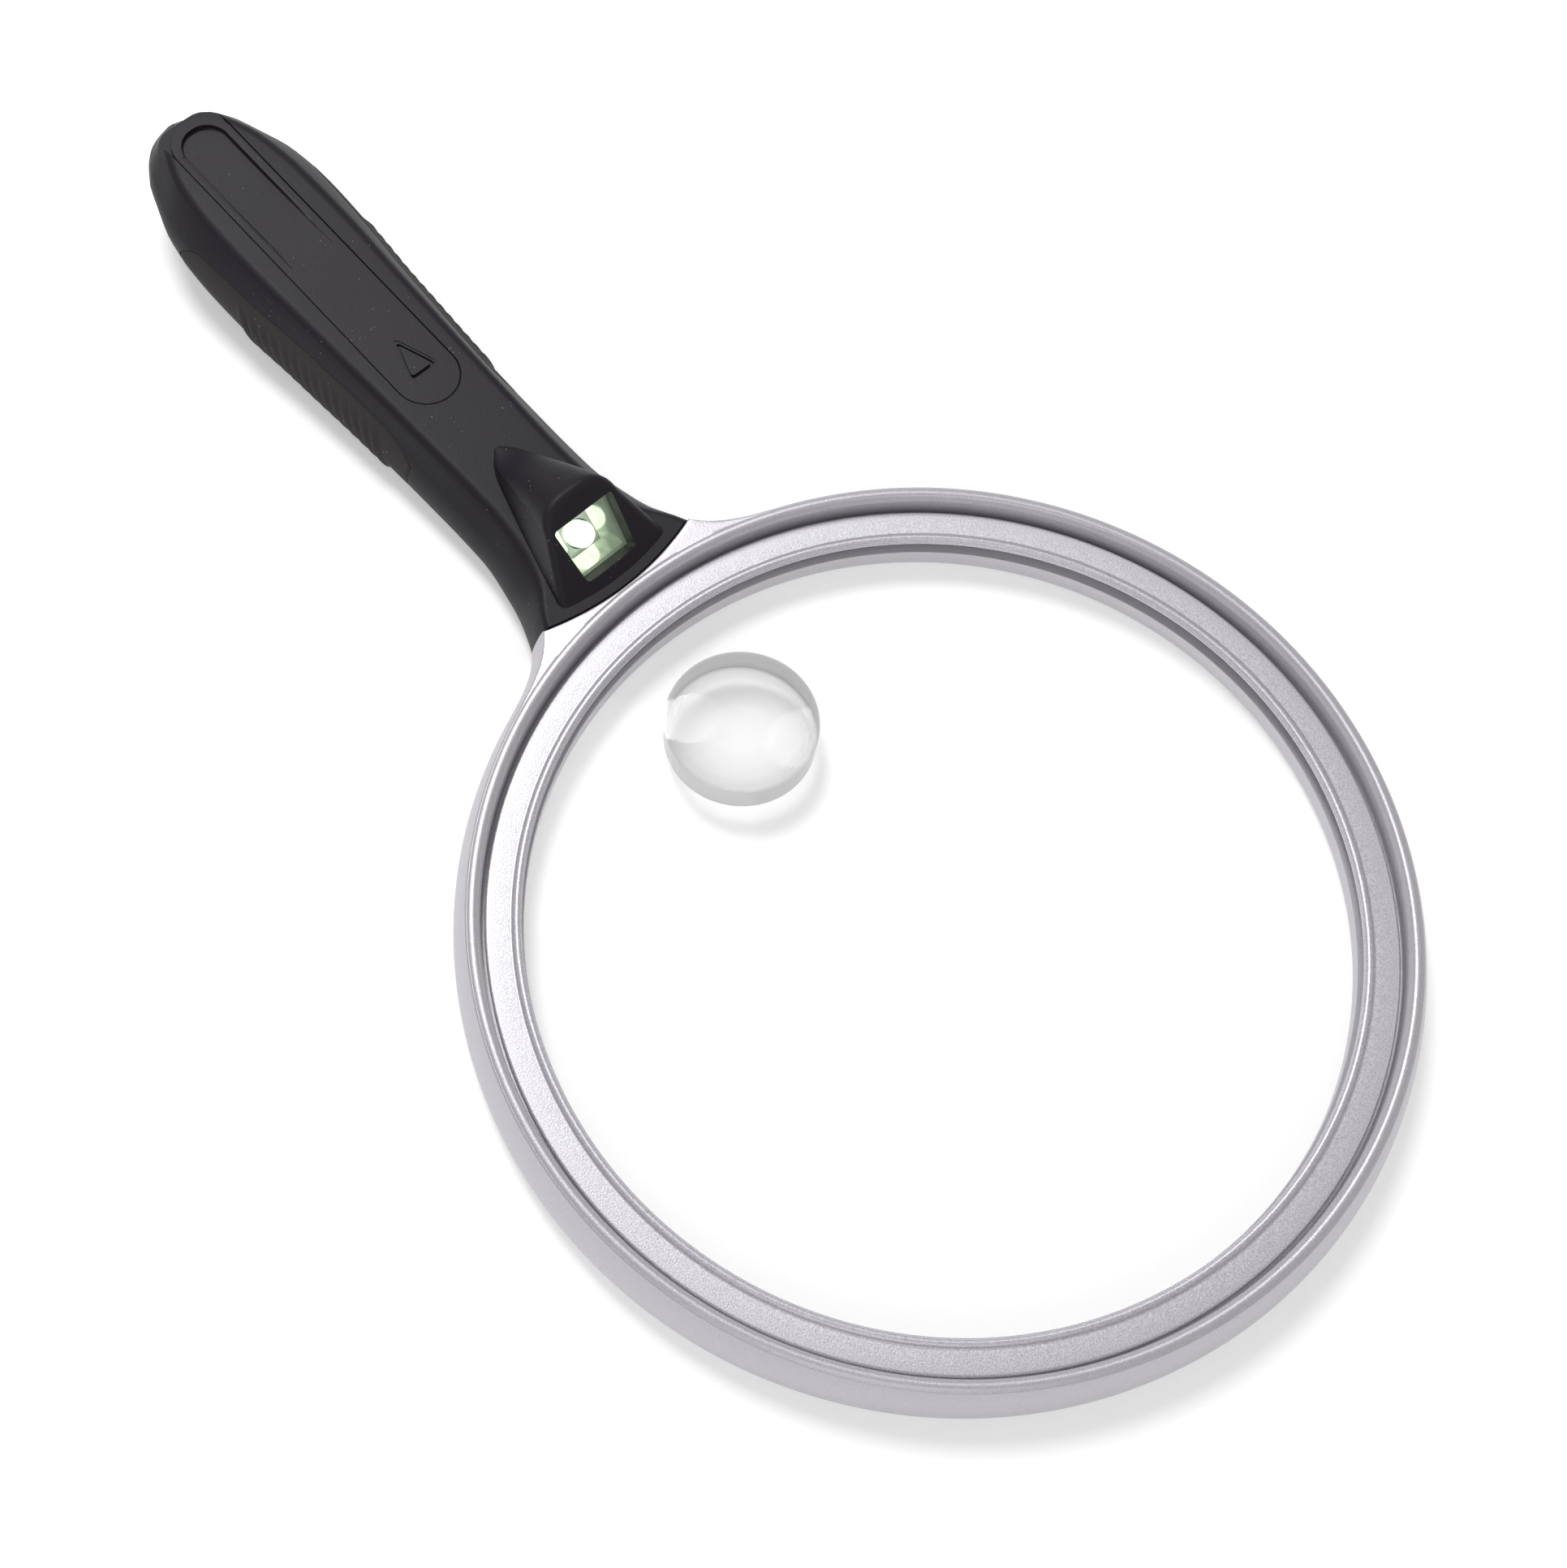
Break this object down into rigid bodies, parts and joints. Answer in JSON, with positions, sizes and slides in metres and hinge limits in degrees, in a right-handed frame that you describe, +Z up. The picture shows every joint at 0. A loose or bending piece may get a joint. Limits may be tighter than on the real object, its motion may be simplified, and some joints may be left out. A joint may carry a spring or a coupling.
{
  "type": "lighted round magnifier",
  "caption": "Round hand magnifier in a silver ring with a small strong spot lens, a lamp under a hood on a black handle, and a sliding battery door.",
  "frame": {"origin": "middle of the whole part's outline, at the level it rests on", "axes": "+X from the handle's butt towards the lens, +Z up along the lens axis to the lamp side, +Y to the left of someone looking along +X"},
  "size_m": [0.2908, 0.1654, 0.0254],
  "materials": {
    "silver": "satin silver paint with fine metallic flake",
    "lens": "polished",
    "soft_black": "soft-touch",
    "grip_rubber": "ribbed, matte",
    "lamp_clear": "clear, moulded",
    "mirror": "bright mirror",
    "lamp": "lit white lamp",
    "board": "solder mask",
    "copper": "enamelled copper winding",
    "plated_steel": "bright plated",
    "dark_plastic": "matte",
    "cell_jacket": "gloss, plain",
    "wire_red": "semi-gloss",
    "wire_black": "semi-gloss"
  },
  "bodies": {
    "frame": {"ring_frame": "silver", "retaining_ring": "silver", "main_lens": "lens", "spot_lens": "lens", "handle_top": "soft_black", "handle_bottom": "soft_black", "grip_left": "grip_rubber", "grip_right": "grip_rubber", "lamp_window": "lamp_clear", "lamp_reflector": "mirror", "lamp_led": "lamp", "lamp_board": "board", "driver_board": "board", "driver_coil": "copper", "driver_capacitor": "plated_steel", "driver_chip": "dark_plastic", "driver_screw_1": "plated_steel", "driver_screw_2": "plated_steel", "switch_body": "plated_steel", "battery_tray": "dark_plastic", "battery_cell": "cell_jacket", "contact_positive": "plated_steel", "contact_negative": "plated_steel", "contact_spring": "plated_steel", "wire_battery_positive": "wire_red", "wire_battery_negative": "wire_black", "wire_lamp_positive": "wire_red", "wire_lamp_negative": "wire_black", "neck_screw_1": "plated_steel", "neck_screw_2": "plated_steel", "handle_screw_1": "plated_steel", "handle_screw_2": "plated_steel", "butt_screw": "plated_steel"},
    "battery_door": {"battery_door": "soft_black"},
    "power_switch": {"switch_knob": "soft_black", "switch_lever": "dark_plastic"}
  },
  "joints": [
    {"name": "battery_door_slide", "type": "slide", "parent": "frame", "child": "battery_door", "axis": [-0.9976, 0, 0.0698], "range_m": [0, 0.075]},
    {"name": "power_switch_slide", "type": "slide", "parent": "frame", "child": "power_switch", "axis": [-1, 0, 0], "range_m": [0, 0.003]}
  ]
}
